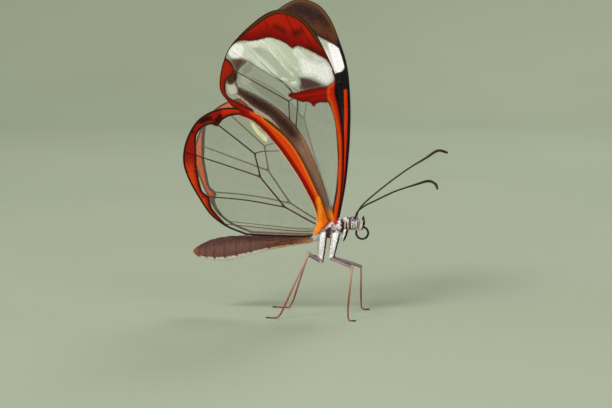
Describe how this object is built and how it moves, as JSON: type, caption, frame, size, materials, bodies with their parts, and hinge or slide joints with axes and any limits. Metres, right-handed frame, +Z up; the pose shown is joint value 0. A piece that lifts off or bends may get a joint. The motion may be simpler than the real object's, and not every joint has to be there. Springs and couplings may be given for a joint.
{
  "type": "glasswing butterfly",
  "caption": "Still life-size butterfly standing with clear, orange-edged wings closed over its back, slim body, forward feelers and thin legs.",
  "frame": {"origin": "middle of the whole model's box on the ground, under the feet", "axes": "+X towards the head, +Y to the butterfly's left, +Z up"},
  "size_m": [0.0338, 0.0162, 0.0415],
  "materials": {
    "wing": "thin clear membrane with dark veins and opaque orange, red, white and brown scaled borders",
    "body_scales": "dense dull scales and short hair in white and brown stripes",
    "abdomen_scales": "fine dark mauve-brown scales with a soft sheen",
    "cuticle": "thin hard skin, satin brown",
    "eye": "smooth glossy faceted dome with pale and dark bands"
  },
  "bodies": {
    "root": {"head": "body_scales", "thorax": "body_scales", "abdomen": "abdomen_scales", "eye_left": "eye", "eye_right": "eye", "palp_left": "body_scales", "palp_right": "body_scales", "proboscis": "cuticle", "antenna_left": "cuticle", "antenna_right": "cuticle", "leg_fore_left": "body_scales", "leg_fore_right": "body_scales", "leg_mid_left": "cuticle", "leg_mid_right": "cuticle", "leg_hind_left": "cuticle", "leg_hind_right": "cuticle", "forewing_left": "wing", "forewing_right": "wing", "hindwing_left": "wing", "hindwing_right": "wing"}
  },
  "joints": []
}
